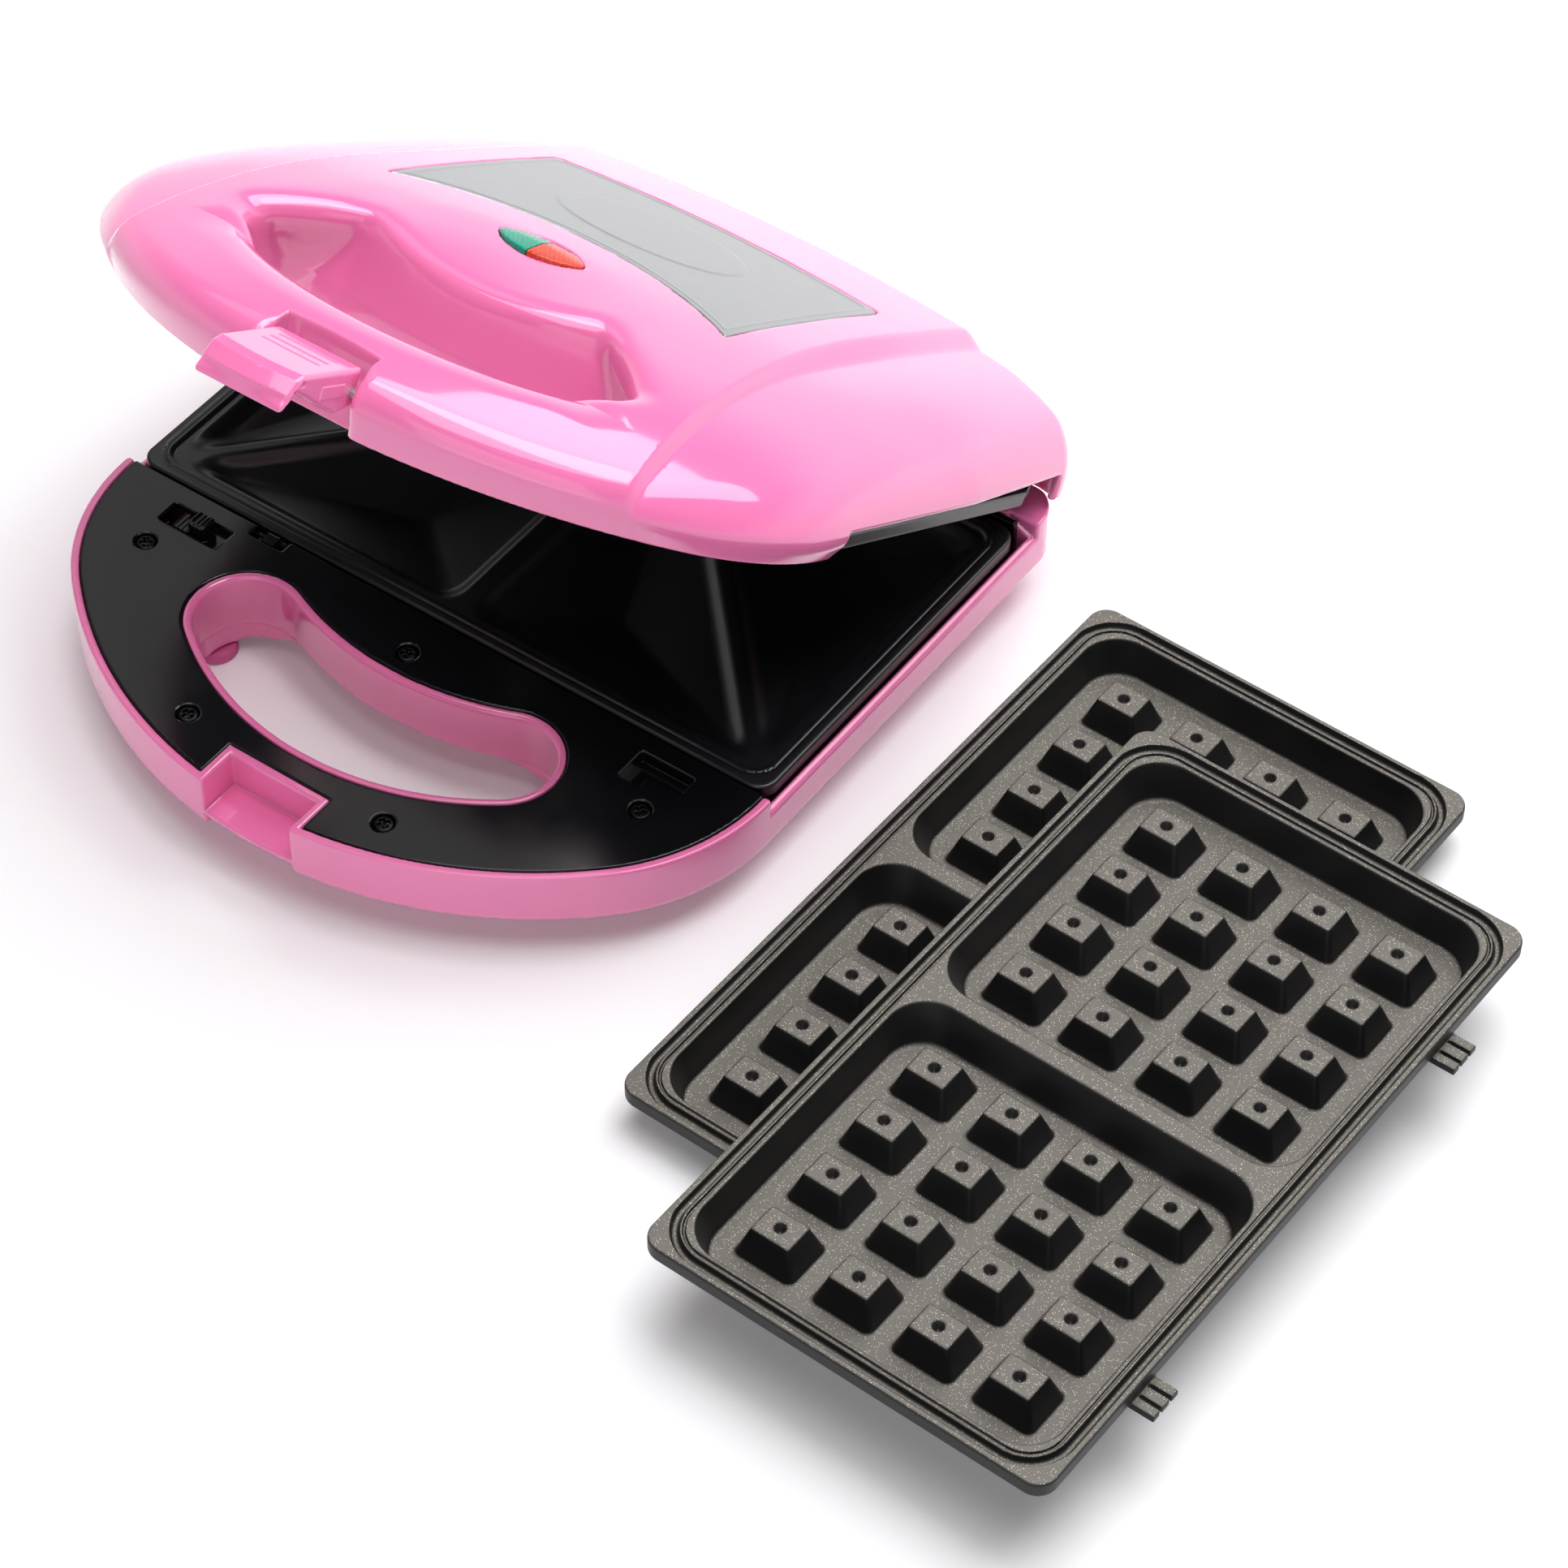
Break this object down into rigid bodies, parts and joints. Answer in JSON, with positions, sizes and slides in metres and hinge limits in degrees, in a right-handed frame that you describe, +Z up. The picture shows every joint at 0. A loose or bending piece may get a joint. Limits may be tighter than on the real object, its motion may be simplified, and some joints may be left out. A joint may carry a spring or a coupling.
{
  "type": "waffle maker",
  "caption": "Two-slice waffle maker with a hinged lid, swinging latch, grip opening and lift-out sandwich plates, with loose waffle plates stacked beside it.",
  "frame": {"origin": "middle of the underside of the whole set's box, on the table", "axes": "+Z up, +X to the right along the hinge towards the loose plates, +Y to the back"},
  "size_m": [0.443, 0.3198, 0.1827],
  "materials": {
    "pink_plastic": "gloss moulded plastic",
    "black_plastic": "satin moulded plastic",
    "black_coating": "black non-stick coating on cast metal",
    "bronze_coating": "dark speckled non-stick coating on cast metal",
    "plain_steel": "plain sheet and rod",
    "badge_metal": "fine brushed sheet",
    "screw_steel": "dark plated wire and screws",
    "heater_steel": "dull sheath of a heating tube",
    "ceramic": "matt insulating material",
    "rubber": "dull black rubber",
    "green_lens": "clear tinted plastic with a fine diamond pattern",
    "red_lens": "clear tinted plastic with a fine diamond pattern",
    "lamp_glass": "clear lamp glass"
  },
  "bodies": {
    "base": {"lower_housing": "pink_plastic", "lower_trim_panel": "black_plastic", "lower_heater": "heater_steel", "lower_reflector": "plain_steel", "lower_thermostat": "ceramic", "lower_slider_spring": "screw_steel", "terminal_block": "ceramic", "thermal_fuse": "ceramic", "cord_gland": "black_plastic", "foot_front_left": "rubber", "foot_front_right": "rubber", "foot_rear_left": "rubber", "foot_rear_right": "rubber", "hinge_pin_left": "plain_steel", "hinge_pin_right": "plain_steel", "lower_screw_1": "screw_steel", "lower_screw_2": "screw_steel", "lower_screw_3": "screw_steel", "lower_screw_4": "screw_steel", "lower_screw_5": "screw_steel"},
    "lower_plate": {"lower_sandwich_plate": "black_coating"},
    "lower_slider": {"lower_release_slider": "black_plastic"},
    "lid": {"upper_housing": "pink_plastic", "upper_trim_panel": "black_plastic", "upper_heater": "heater_steel", "upper_reflector": "plain_steel", "upper_thermostat": "ceramic", "upper_slider_spring": "screw_steel", "badge_plate": "badge_metal", "power_lens": "green_lens", "ready_lens": "red_lens", "lamp_board": "ceramic", "power_lamp": "lamp_glass", "ready_lamp": "lamp_glass", "latch_pin": "plain_steel", "upper_screw_1": "screw_steel", "upper_screw_2": "screw_steel", "upper_screw_3": "screw_steel", "upper_screw_4": "screw_steel", "upper_screw_5": "screw_steel"},
    "latch": {"latch": "pink_plastic"},
    "upper_plate": {"upper_sandwich_plate": "black_coating"},
    "upper_slider": {"upper_release_slider": "black_plastic"},
    "back_plate": {"waffle_plate_back": "bronze_coating"},
    "front_plate": {"waffle_plate_front": "bronze_coating"}
  },
  "joints": [
    {"name": "lid_hinge", "type": "hinge", "parent": "base", "child": "lid", "pos_m": [-0.09882, 0.13135, 0.027], "axis": [-1, 0, 0], "range_deg": [-31.6, 68.4]},
    {"name": "latch_hinge", "type": "hinge", "parent": "lid", "child": "latch", "pos_m": [-0.09882, -0.05793, 0.16399], "axis": [-1, 0, 0], "range_deg": [-90, 0]},
    {"name": "lower_plate_tip", "type": "hinge", "parent": "base", "child": "lower_plate", "pos_m": [-0.09882, 0.11945, 0.0245], "axis": [-1, 0, 0], "range_deg": [0, 12]},
    {"name": "upper_plate_tip", "type": "hinge", "parent": "lid", "child": "upper_plate", "pos_m": [-0.09882, 0.12672, 0.04218], "axis": [1, 0, 0], "range_deg": [0, 12]},
    {"name": "lower_slider_travel", "type": "slide", "parent": "base", "child": "lower_slider", "axis": [-1, 0, 0], "range_m": [0, 0.004], "stiffness_N_per_m": 300, "springref_m": -0.002},
    {"name": "upper_slider_travel", "type": "slide", "parent": "lid", "child": "upper_slider", "axis": [1, 0, 0], "range_m": [0, 0.004], "stiffness_N_per_m": 300, "springref_m": -0.002},
    {"name": "back_plate_lift", "type": "slide", "parent": "base", "child": "back_plate", "axis": [0, 0, 1], "range_m": [0, 0.06]},
    {"name": "front_plate_lift", "type": "slide", "parent": "back_plate", "child": "front_plate", "axis": [0, 0, 1], "range_m": [0, 0.06]}
  ]
}
